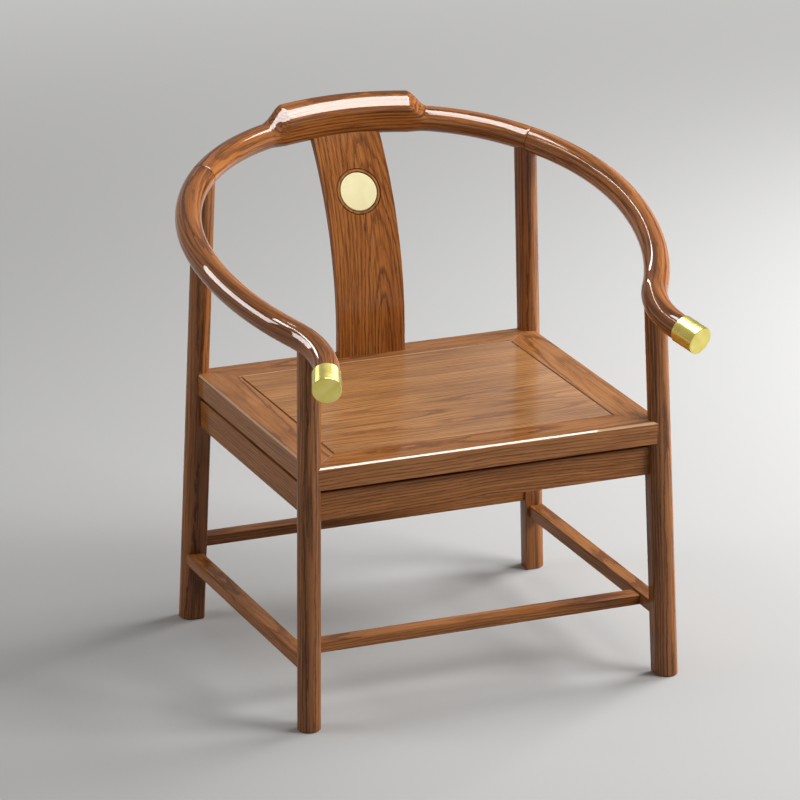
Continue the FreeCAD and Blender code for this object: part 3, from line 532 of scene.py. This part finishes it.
class Finish:
    """The nodes of a material, or of the room's backdrop, under construction."""

    def __init__(self, owner):
        self.owner = bpy.data.materials.new(owner) if isinstance(owner, str) else owner
        self.owner.use_nodes = True
        self.tree = self.owner.node_tree
        self.tree.nodes.clear()

    def node(self, kind, settings=None, inputs=None):
        """Adds a node: settings first, then values or links for its sockets."""
        made = self.tree.nodes.new(kind)
        for key, value in (settings or {}).items():
            setattr(made, key, value)
        for key, value in (inputs or {}).items():
            if isinstance(value, Number):
                self.tree.links.new(value.socket, made.inputs[key])
            elif isinstance(value, bpy.types.NodeSocket):
                self.tree.links.new(value, made.inputs[key])
            else:
                made.inputs[key].default_value = value
        return Node(self, made)

    def joined(self, operation, *values):
        """A Math node's result."""
        return self.node("ShaderNodeMath", {"operation": operation}, dict(enumerate(values))).number()

    def noise(self, place, scale, detail=2.0, rough=0.5):
        """Cloudy noise over a place that is first stretched by a scale for each direction."""
        stretched = self.node("ShaderNodeVectorMath", {"operation": "MULTIPLY"}, {0: place, 1: scale}).out()
        return self.node("ShaderNodeTexNoise", {}, {"Vector": stretched, "Scale": 1.0, "Detail": detail,
                                                    "Roughness": rough}).number()

    def ramped(self, value, low, high, start=0.0, end=1.0):
        """A number eased from start to end while value goes from low to high."""
        return self.node("ShaderNodeMapRange", {"interpolation_type": "SMOOTHSTEP", "clamp": True},
                         {0: value, 1: low, 2: high, 3: start, 4: end}).number()

    def blend(self, share, first, second):
        """Colour between a first and a second by a share."""
        colours = {6: first, 7: second}
        colours = {key: (*value, 1.0) if isinstance(value, tuple) else value for key, value in colours.items()}
        return self.node("ShaderNodeMix", {"data_type": "RGBA"}, {0: share, **colours}).out(2)

    def place(self):
        """The point's place along, across and through the grain, kept with the mesh."""
        return self.node("ShaderNodeAttribute", {"attribute_name": "grain"}).out("Vector")

    def numbers(self, place):
        """The three numbers of a place."""
        parts = self.node("ShaderNodeSeparateXYZ", {}, {0: place})
        return parts.number(0), parts.number(1), parts.number(2)

    def seen(self):
        """One for rays that show the surface, straight, mirrored or through glass, and nought for the rest."""
        path = self.node("ShaderNodeLightPath")
        rays = path.number("Is Camera Ray") + path.number("Is Glossy Ray") + path.number("Is Transmission Ray")
        return self.joined("MINIMUM", rays, 1.0)

    def bump(self, height, distance, strength):
        """The surface's direction, tilted by the slope of a height."""
        return self.node("ShaderNodeBump", {}, {"Height": height, "Distance": distance, "Strength": strength}).out()

    def surface(self, sockets):
        """The finished surface with its sockets."""
        shader = self.node("ShaderNodeBsdfPrincipled", {}, sockets).out()
        self.node("ShaderNodeOutputMaterial", {}, {"Surface": shader})
        return self.owner


def wood(name, light, middle, dark, ring=0.0045, pith=0.045, centre=0.0, tilt=0.05, sway=0.020, wander=0.020,
         lines=0.32, wave=0.8, bands=0.8, broad=60.0, satin=0.42, gloss=0.5, gloss_rough=0.10, stripes=0.0,
         arris=None, joints=None, by_object=False):
    """Lacquered ring-porous wood. The rings are steps of the distance from a tilted, wandering pith below the
    piece; each begins with a dark band of open pores and fades to plain wood. Fibres and pores are noise
    stretched along the grain, broad soft clouds shift the tone, and some streaks are dark stripes. Joints, as
    a place along the grain and the distance from it, are dark lines without gloss. An arris, as lowest and
    highest place through the piece, gets more gloss and a painted highlight: its colour is blended pale."""
    finish = Finish(name)
    place = finish.node("ShaderNodeTexCoord").out("Object") if by_object else finish.place()
    along, across, through = finish.numbers(place)
    slow = finish.noise(place, (4.5, 7.0, 7.0), 1.0)
    slower = finish.noise(place, (3.1, 5.0, 5.0), 0.0)
    side = across - centre + (slower - 0.5) * sway
    local = finish.joined("PINGPONG", along, 0.5)
    depth = through + local * tilt + pith + (slow - 0.5) * wander
    distance = (side * side + depth * depth) ** 0.5
    ripple = finish.noise(place, (34.0, 190.0, 190.0), 4.0, 0.6)
    count = distance / ring + (ripple - 0.5) * wave
    phase, whole = finish.joined("FRACT", count), finish.joined("FLOOR", count)
    chance = finish.node("ShaderNodeTexWhiteNoise", {"noise_dimensions": "1D"}, {"W": whole}).number(0)
    early = finish.ramped(phase, 0.0, 0.08) * finish.ramped(phase, 0.16, 0.55, 1.0, 0.0) * (0.45 + 0.55 * chance)
    fibre = finish.noise(place, (14.0, 520.0, 520.0), 3.0, 0.65)
    line = finish.ramped(finish.noise(place, (9.0, 330.0, 330.0), 2.0), 0.50, 0.62)
    streak = finish.noise(place, (2.4, broad, broad), 3.0, 0.6)
    cloud = finish.noise(place, (1.8, 12.0, 12.0), 2.0)
    pore = finish.ramped(finish.noise(place, (70.0, 1700.0, 1700.0), 2.0), 0.54, 0.66)
    tone = finish.ramped(0.25 * cloud + 0.40 * streak + 0.35 * fibre, 0.38, 0.62)
    colour = finish.blend(tone, middle, light)
    colour = finish.blend(finish.ramped(phase, 0.55, 1.0) * 0.16 + line * lines, colour, dark)
    colour = finish.blend(bands * early * finish.ramped(fibre, 0.25, 0.60, 0.55, 1.0), colour, dark)
    darkest = tuple(0.4 * part for part in dark)
    colour = finish.blend(pore * (0.15 + 0.45 * early), colour, darkest)
    colour = finish.blend(stripes * finish.ramped(streak, 0.48, 0.62), colour, dark)
    if joints:
        apart = finish.joined("ABSOLUTE", finish.joined("ABSOLUTE", along - joints[0]) - joints[1])
        closed = finish.ramped(apart, 0.0004, 0.0009, 1.0, 0.0)
        colour = finish.blend(0.85 * closed, colour, darkest)
        gloss = gloss - gloss * closed
    if arris:
        low, high = arris
        # Painted highlight along the arris: the colour is blended towards a pale tone, and the coat there is glossier
        gloss_and_painted_highlight = finish.ramped(through, low - 0.0006, low) * finish.ramped(through, high, high + 0.0001, 1.0, 0.0)
        colour = finish.blend(0.45 * gloss_and_painted_highlight, colour, (0.78, 0.58, 0.38))
        gloss = gloss + (1 - gloss) * gloss_and_painted_highlight
    height = fibre * 0.25 - pore * (0.3 + 0.7 * early)
    return finish.surface({"Base Color": colour, "Roughness": satin + 0.10 * early + 0.05 * (streak - 0.5),
                           "Normal": finish.bump(height, 0.00006, 0.6), "IOR": 1.5, "Specular IOR Level": 0.0,
                           "Coat Weight": gloss, "Coat Roughness": gloss_rough, "Coat IOR": 1.5})


def brass():
    """Turned brass: fine tool rings, deeper on the flat end, a soft change of tone and a polished sheen."""
    finish = Finish("cap_brass")
    place = finish.place()
    length, side, other = finish.numbers(place)
    along = finish.node("ShaderNodeCombineXYZ", {}, {0: length + (side * side + other * other) ** 0.5}).out()
    rings = finish.noise(along, (3200.0, 1.0, 1.0), 2.0) * finish.ramped(length, -0.0010, -0.0002, 0.15, 1.0)
    cloud = finish.noise(place, (60.0, 60.0, 60.0), 3.0)
    colour = finish.blend(finish.ramped(cloud, 0.3, 0.7), (0.82, 0.69, 0.17), (0.92, 0.80, 0.25))
    return finish.surface({"Base Color": colour, "Metallic": 1.0, "Roughness": 0.22 + 0.06 * cloud,
                           "Normal": finish.bump(rings, 0.00008, 0.8)})


def cream():
    """Pale cream disc with a faint bone-like mottle under a soft polish."""
    finish = Finish("inlay_cream")
    place = finish.place()
    cloud = finish.noise(place, (45.0, 60.0, 60.0), 3.0)
    speck = finish.noise(place, (500.0, 900.0, 900.0), 2.0)
    colour = finish.blend(finish.ramped(0.7 * cloud + 0.3 * speck, 0.35, 0.65), (0.85, 0.76, 0.42), (0.89, 0.81, 0.47))
    return finish.surface({"Base Color": colour, "Roughness": 0.40 + 0.1 * cloud,
                           "Normal": finish.bump(speck, 0.00002, 0.4), "Coat Weight": 0.3, "Coat Roughness": 0.2})


CREST_GRAIN = 0.4          # where the crest's middle lies along the rail's grain
rail_wood = wood("rail_wood", (0.42, 0.150, 0.034), (0.28, 0.088, 0.017), (0.070, 0.018, 0.005), ring=0.0050,
                 pith=0.044, centre=0.02, tilt=0.02, sway=0.008, wander=0.010, lines=0.58, satin=0.36,
                 gloss=1.0, gloss_rough=0.05, joints=(CREST_GRAIN, JOINT))
leg_wood = wood("leg_wood", (0.36, 0.145, 0.048), (0.25, 0.088, 0.024), (0.060, 0.018, 0.006), ring=0.0046,
                pith=0.040, tilt=0.012, sway=0.008, wander=0.008, lines=0.5, satin=0.38, gloss=0.6, gloss_rough=0.15)
# The seat frame's top arris gets more gloss and a painted pale highlight
frame_wood = wood("frame_wood", (0.42, 0.180, 0.062), (0.31, 0.118, 0.034), (0.120, 0.038, 0.011), ring=0.0042,
                  pith=0.050, centre=0.01, tilt=0.02, sway=0.008, wander=0.010, gloss=0.5, gloss_rough=0.09,
                  arris=(0.0179, 0.01985))
panel_wood = wood("panel_wood", (0.50, 0.255, 0.102), (0.35, 0.155, 0.053), (0.140, 0.048, 0.015), ring=0.0044,
                  pith=0.030, centre=0.03, tilt=0.03, sway=0.010, wander=0.010, bands=0.7, wave=0.7,
                  stripes=0.42, broad=22.0, satin=0.45, gloss=0.45, gloss_rough=0.22)
below_seat = ((0.40, 0.165, 0.052), (0.28, 0.098, 0.026), (0.080, 0.022, 0.006))
apron_wood = wood("apron_wood", *below_seat, ring=0.0046, pith=0.030, tilt=0.03, sway=0.010, wander=0.010,
                  gloss=0.4, gloss_rough=0.14)
stretcher_wood = wood("stretcher_wood", *below_seat, ring=0.0042, pith=0.035, tilt=0.02, sway=0.006,
                      wander=0.006, gloss=0.4, gloss_rough=0.14)
splat_wood = wood("splat_wood", (0.44, 0.160, 0.036), (0.31, 0.100, 0.019), (0.075, 0.018, 0.005), ring=0.0052,
                  pith=0.008, centre=0.020, tilt=0.12, sway=0.014, wander=0.014, wave=1.1, lines=0.45, satin=0.40,
                  gloss=0.6, gloss_rough=0.12)
ring_wood = wood("ring_wood", (0.46, 0.21, 0.075), (0.34, 0.13, 0.036), (0.12, 0.040, 0.012), ring=0.0030,
                 pith=0.050, tilt=0.02, satin=0.40, gloss_rough=0.12)
batten_wood = wood("batten_wood", (0.34, 0.16, 0.070), (0.26, 0.11, 0.040), (0.10, 0.040, 0.015), satin=0.6, gloss=0.1)
dowel_wood = wood("dowel_wood", (0.50, 0.33, 0.19), (0.42, 0.26, 0.14), (0.24, 0.13, 0.06), satin=0.6, gloss=0.0,
                  by_object=True)
cap_brass, inlay_cream = brass(), cream()

# ---- The chair ----

# Each piece has its own offset in the grain, so that no two show the same figure
skin("crest", crest_surface(), rail_wood, ["crest_rail"], (CREST_GRAIN, 0, 0), sharp=55)
for side, flip in SIDES:
    shift = 1.7 if flip else 0.0
    skin("arm_" + side + "_wood", arm_surface(), rail_wood, ["arm_" + side],
         (0.43 + shift, 0.004, 0.003), flip)
    skin("cap_" + side, cap_surface(), cap_brass, ["hand_cap_" + side], (0, 0, 0), flip)
    skin("front_leg_" + side, front_leg.surface(), leg_wood, ["leg_front_" + side],
         (4 + shift, 0.01, 0), flip)
    skin("rear_leg_" + side, rear_leg.surface(), leg_wood, ["leg_rear_" + side],
         (6 + shift, -0.01, 0), flip)

slab = softened([(0, SEAT_UNDER), (0, SEAT_TOP), (RAIL_WIDTH, SEAT_TOP), (RAIL_WIDTH, SEAT_UNDER)],
                (UNDER_EDGE, TOP_EDGE, FINE_EDGE, FINE_EDGE), 7)
front_slab = softened([(0, SEAT_UNDER), (0, SEAT_TOP - FRONT_BEVEL[1]), (FRONT_BEVEL[0], SEAT_TOP),
                       (RAIL_WIDTH, SEAT_TOP), (RAIL_WIDTH, SEAT_UNDER)], (UNDER_EDGE,) + (FINE_EDGE,) * 4, 4)
front_slab += (seat_front, 0)
rear_slab, side_slab = (slab * (-1, 1) + (place, 0) for place in (seat_rear, seat_half))
for side, outline, outer, slope, offset in (("front", front_slab, seat_half + seat_front, 1, (8, 0.22, -0.38)),
                                            ("rear", rear_slab, seat_half - seat_rear, -1, (9.1, -0.20, -0.38))):
    skin("slab_" + side, carved_bar(outline, (-outer, slope), (outer, -slope), "x"), frame_wood,
         ["seat_rail_" + side], offset)
for side, flip in SIDES:
    skin("slab_" + side, carved_bar(side_slab, (seat_front + seat_half, -1), (seat_rear - seat_half, 1), "y"),
         frame_wood, ["seat_rail_" + side], (10.3 + flip * 1.3, -0.25, -0.38), flip)

panel_half = seat_half - RAIL_WIDTH - SIDE_GROOVE
near, far = seat_front + RAIL_WIDTH + END_GROOVE, seat_rear - RAIL_WIDTH - END_GROOVE
edges = np.linspace(near, far, BOARDS + 1)
for number, (low, high) in enumerate(zip(edges[:-1], edges[1:])):
    front, rear = [(low, BOARD_UNDER), (low, SEAT_TOP)], [(high, SEAT_TOP), (high, BOARD_UNDER)]
    front_edges, rear_edges = [GLUED_EDGE] * 2, [GLUED_EDGE] * 2
    if number == 0:
        front[1:1] = [(low, TONGUE_UNDER), (low - TONGUE, TONGUE_UNDER), (low - TONGUE, TONGUE_TOP), (low, TONGUE_TOP)]
        front_edges = [HIDDEN_EDGE] * 5 + [FINE_EDGE]
    if number == BOARDS - 1:
        rear[1:1] = [(high, TONGUE_TOP), (high + TONGUE, TONGUE_TOP), (high + TONGUE, TONGUE_UNDER),
                     (high, TONGUE_UNDER)]
        rear_edges = [FINE_EDGE] + [HIDDEN_EDGE] * 5
    outline = softened(front + rear, front_edges + rear_edges, 3)
    skin("board_%d" % (number + 1),
         carved_bar(outline, (-panel_half, 0), (panel_half, 0), "x", FINE_EDGE, (TONGUE, TONGUE_UNDER, TONGUE_TOP)),
         panel_wood, ["seat_board_%d" % (number + 1)],
         (12 + 1.37 * number, 0.03 * number - (low + high) / 2, -0.39 - 0.006 * (number % 3)))

for side, middle in (("left", -BATTEN_PLACE), ("right", BATTEN_PLACE)):
    low, high = middle - BATTEN_HALF, middle + BATTEN_HALF
    outline = softened([(low, BATTEN_UNDER), (low, BATTEN_TOP), (high, BATTEN_TOP), (high, BATTEN_UNDER)],
                       (0.0015, 0.0001, 0.0001, 0.0015))
    skin("batten_" + side, carved_bar(outline, (near - BATTEN_TENON, 0), (far + BATTEN_TENON, 0), "y"),
         batten_wood, ["seat_batten_" + side], (20, -middle, -0.38))


def apron_outline(face, back):
    """Section of an apron from its outer face to its back, with the shadow rebate along the top."""
    rebate = face + SHADOW_DEEP * (1 if back > face else -1)
    shadow, top = SEAT_UNDER - SHADOW_HIGH, SEAT_UNDER + APRON_RISE
    corners = [(face, APRON_UNDER), (face, shadow), (rebate, shadow), (rebate, top), (back, top), (back, APRON_UNDER)]
    return softened(corners, (0.0012, 0.0012, 0.0003, 0.0003, 0.0003, UNDER_EDGE))


low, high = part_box("apron_front")
skin("apron_front_board", carved_bar(apron_outline(low.y, high.y), (low.x, 0), (high.x, 0), "x"), apron_wood,
     ["apron_front"], (22, -low.y - 0.005, -0.34))
low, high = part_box("apron_rear")
skin("apron_rear_board", carved_bar(apron_outline(high.y, low.y), (low.x, 0), (high.x, 0), "x"), apron_wood,
     ["apron_rear"], (24, -low.y - 0.008, -0.34))
low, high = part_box("apron_right")
for side, flip in SIDES:
    skin("apron_" + side + "_board",
         carved_bar(apron_outline(high.x, high.x - APRON_THICK), (low.y, 0), (high.y, 0), "y"), apron_wood,
         ["apron_" + side], (26 + flip * 1.9, -high.x, -0.34), flip)


def stretcher(name, node, axes, offset, flip=False):
    """Stretcher between its own box's ends, which lie inside the legs, with softened long edges. The left
    one is the right one mirrored."""
    low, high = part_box(node)
    ends = ((low.x, 0), (high.x, 0)) if axes == "x" else ((low.y, 0), (high.y, 0))
    edges = (low.y, high.y) if axes == "x" else (low.x, high.x)
    outline = softened([(edges[0], low.z), (edges[0], high.z), (edges[1], high.z), (edges[1], low.z)],
                       (0.0025,) * 4, 6)
    middle = (edges[0] + edges[1]) / 2
    skin(name, carved_bar(outline, *ends, axes), stretcher_wood,
         [node if not flip else node.replace("right", "left")], (offset, -middle, -low.z), flip)


stretcher("foot_rail_front", "stretcher_front", "x", 30)
stretcher("foot_rail_rear", "stretcher_rear", "x", 31.7)
stretcher("foot_rail_right", "stretcher_right", "y", 33.1)
stretcher("foot_rail_left", "stretcher_right", "y", 34.9, True)

skin("splat_board", splat_surface(), splat_wood, ["splat"], (36, 0, 0))
skin("medallion_hoop", ring_surface(), ring_wood, ["medallion_ring"], (38, 0, 0))
skin("medallion_inlay", disc_surface(), inlay_cream, ["medallion_disc"], (39, 0, 0))
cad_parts["lap_dowels"].data.materials.clear()
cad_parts["lap_dowels"].data.materials.append(dowel_wood)

# ---- Floor, light and camera ----

PANEL_HEIGHT, LINE_POWER = 2.5, 60         # metres over the floor, and watts on each square metre


def add_floor(material, half=14.0, count=9):
    """Level floor a hair under the feet: a grid of points from minus to plus half in both directions."""
    steps = np.linspace(-half, half, count)
    x, y = np.meshgrid(steps, steps)
    points = np.stack([x, y, 0 * x - 0.0002], -1).reshape(-1, 3)
    place = np.arange(count * count).reshape(count, count)
    faces = np.stack([place[:-1, :-1], place[:-1, 1:], place[1:, 1:], place[1:, :-1]], -1).reshape(-1, 4)
    mesh = bpy.data.meshes.new("floor")
    mesh.from_pydata(points.tolist(), [], faces.tolist())
    mesh.materials.append(material)
    floor = linked("floor", mesh)


def floor_surface():
    """Plain pale floor. Rays that light the chair meet a darker floor than those that are seen, and far from
    the chair the seen floor fades into the backdrop's tone."""
    finish = Finish("pale_floor")
    x, y, _ = finish.numbers(finish.node("ShaderNodeTexCoord").out("Object"))
    seen = finish.seen()
    fade = finish.ramped((x * x + y * y) ** 0.5, 1.2, 5.0) * seen
    calm = finish.node("ShaderNodeBsdfDiffuse", {}, {"Color": (0.36, 0.35, 0.34, 1.0)}).out()
    clear = finish.node("ShaderNodeBsdfDiffuse", {}, {"Color": (0.435, 0.433, 0.428, 1.0)}).out()
    plain = finish.node("ShaderNodeMixShader", {}, {0: seen, 1: calm, 2: clear}).out()
    pale = finish.node("ShaderNodeEmission", {}, {"Color": (0.62, 0.615, 0.60, 1.0), "Strength": 1.0}).out()
    shade = finish.node("ShaderNodeMixShader", {}, {0: fade, 1: plain, 2: pale}).out()
    finish.node("ShaderNodeOutputMaterial", {}, {"Surface": shade})
    return finish.owner


def add_backdrop():
    """The room's tone: dim and warm as light on the chair, pale where it is seen."""
    world = bpy.data.worlds.new("room")
    bpy.context.scene.world = world
    finish = Finish(world)
    dim = finish.node("ShaderNodeBackground", {}, {"Color": (1.0, 0.97, 0.93, 1.0), "Strength": 0.14}).out()
    clear = finish.node("ShaderNodeBackground", {}, {"Color": (0.80, 0.80, 0.79, 1.0), "Strength": 0.5}).out()
    shade = finish.node("ShaderNodeMixShader", {}, {0: finish.seen(), 1: dim, 2: clear}).out()
    finish.node("ShaderNodeOutputWorld", {}, {"Surface": shade})


def framed(right, up, back, place):
    """Matrix of an object from its three axes and its place."""
    return Matrix(np.vstack([np.stack([right, up, back, place], 1), [[0, 0, 0, 1]]]).tolist())


def lamp(name, place, target, width, height, power, shine=False, only=(), turn=0.0):
    """Soft rectangular lamp that lights the surfaces, or a panel that only shines in the polish, at times of
    the named pieces only. Its -Z looks at the target, and it can turn about that line by an angle in degrees."""
    data = bpy.data.lights.new(name, "AREA")
    data.shape, data.size, data.size_y, data.energy = "RECTANGLE", width, height, power
    item = linked(name, data)
    back = unit(np.subtract(place, target))
    side = unit(np.cross([0.0, 0.0, 1.0], back))
    item.matrix_world = framed(side, np.cross(back, side), back, place)
    item.rotation_euler.rotate_axis("Z", math.radians(turn))
    item.visible_camera, item.visible_diffuse, item.visible_glossy = False, not shine, shine
    if only:
        shown_on = bpy.data.collections.new(name)
        for piece in only:
            shown_on.objects.link(bpy.data.objects[piece])
        item.light_linking.receiver_collection = shown_on


def high_panel(name, x, y, width, height, power, only=(), turn=0.0):
    """A level shine panel over the chair. Its target lies a hair off, so that its Y has a way to point."""
    lamp(name, (x, y, PANEL_HEIGHT), (x, y - 1e-4, 0.0), width, height, power, True, only, turn)


def line_panel(name, start, end, width, only):
    """A narrow high panel from one point over the chair to another, as bright for its size as the others."""
    start, end = np.array(start), np.array(end)
    middle, along = (start + end) / 2, end - start
    length = float(np.hypot(*along))
    high_panel(name, *middle, length, width, LINE_POWER * length * width, only,
               math.degrees(math.atan2(along[1], along[0])))


def add_camera():
    """Camera at the photograph's angle: back is the unit vector from the target at its azimuth and
    elevation, and the picture's right and up are turned by the roll. The focal length is in picture points."""
    azimuth, elevation, roll = np.radians([22.892, 19.123, 0.206])
    target, distance = np.array([-0.040393, 0.005835 + MIDDLE, 0.397264]), 8.110675
    focal, picture, sensor = 5411.243, 800, 36.0
    back = np.array([-math.sin(azimuth) * math.cos(elevation), -math.cos(azimuth) * math.cos(elevation),
                     math.sin(elevation)])
    right = np.array([math.cos(azimuth), -math.sin(azimuth), 0.0])
    up = np.cross(right, -back)
    across = math.cos(roll) * right + math.sin(roll) * up
    upward = math.cos(roll) * up - math.sin(roll) * right
    data = bpy.data.cameras.new("camera")
    data.sensor_width, data.lens = sensor, focal / picture * sensor
    data.clip_start, data.clip_end = 0.1, 100.0
    camera = linked("camera", data)
    camera.matrix_world = framed(across, upward, back, target + back * distance)
    bpy.context.scene.camera = camera


left_arm, right_arm, left_cap = ["arm_left_wood"], ["arm_right_wood"], ["cap_left"]
cap_place, seat_place = (-0.294, -0.32, 0.555), (0.0, 0.1, 0.4)
boards = ["board_%d" % (number + 1) for number in range(BOARDS)]

add_floor(floor_surface())
add_backdrop()
lamp("top_soft", (0.30, 0.001, 2.6), (0.30, 0.0, 0.0), 1.6, 1.2, 17)
lamp("right_key", (3.0, -2.2, 2.7), (0.0, 0.1, 0.5), 2.0, 1.6, 164)
lamp("right_soft", (3.4, 0.7, 1.2), seat_place, 2.0, 1.6, 225)
lamp("left_soft", (-3.0, 0.9, 1.6), seat_place, 1.6, 1.4, 36)
high_panel("shine_overhead", 0.45, -0.075, 1.9, 0.85, 78)
high_panel("shine_front", -0.20, -0.75, 0.8, 0.45, 17, ["crest"])
high_panel("shine_ramp", -0.975, -0.30, 0.95, 0.90, 41, ["crest"])
lamp("shine_seat", (2.4, 3.4, 1.75), (0.2, 0.1, 0.4), 1.5, 1.4, 5, True, boards)
lamp("shine_side", (-2.6, 0.75, 2.08), (-0.35, 0.0, 0.62), 1.9, 1.25, 97, True, left_arm)
line_panel("shine_line_1", (-1.20, -0.40), (-1.12, 0.78), 0.13, right_arm)
line_panel("shine_line_2", (-1.14, 0.74), (0.04, 1.56), 0.12, right_arm)
line_panel("shine_line_3", (0.03, 1.54), (0.20, 2.08), 0.10, right_arm)
line_panel("shine_line_4", (0.20, 2.05), (-0.08, 4.60), 0.16, right_arm)
lamp("shine_hand", (-0.335, -0.19, 0.664), (-0.345, -0.27, 0.575), 0.02, 0.04, 0.05, True, left_arm)
lamp("shine_cap_1", (1.96, 1.26, 1.66), cap_place, 1.4, 1.4, 16, True, left_cap)
lamp("shine_cap_2", (-0.90, 2.30, 1.46), cap_place, 0.5, 0.8, 3.5, True, left_cap)
add_camera()
bpy.context.scene.view_settings.view_transform = "Standard"
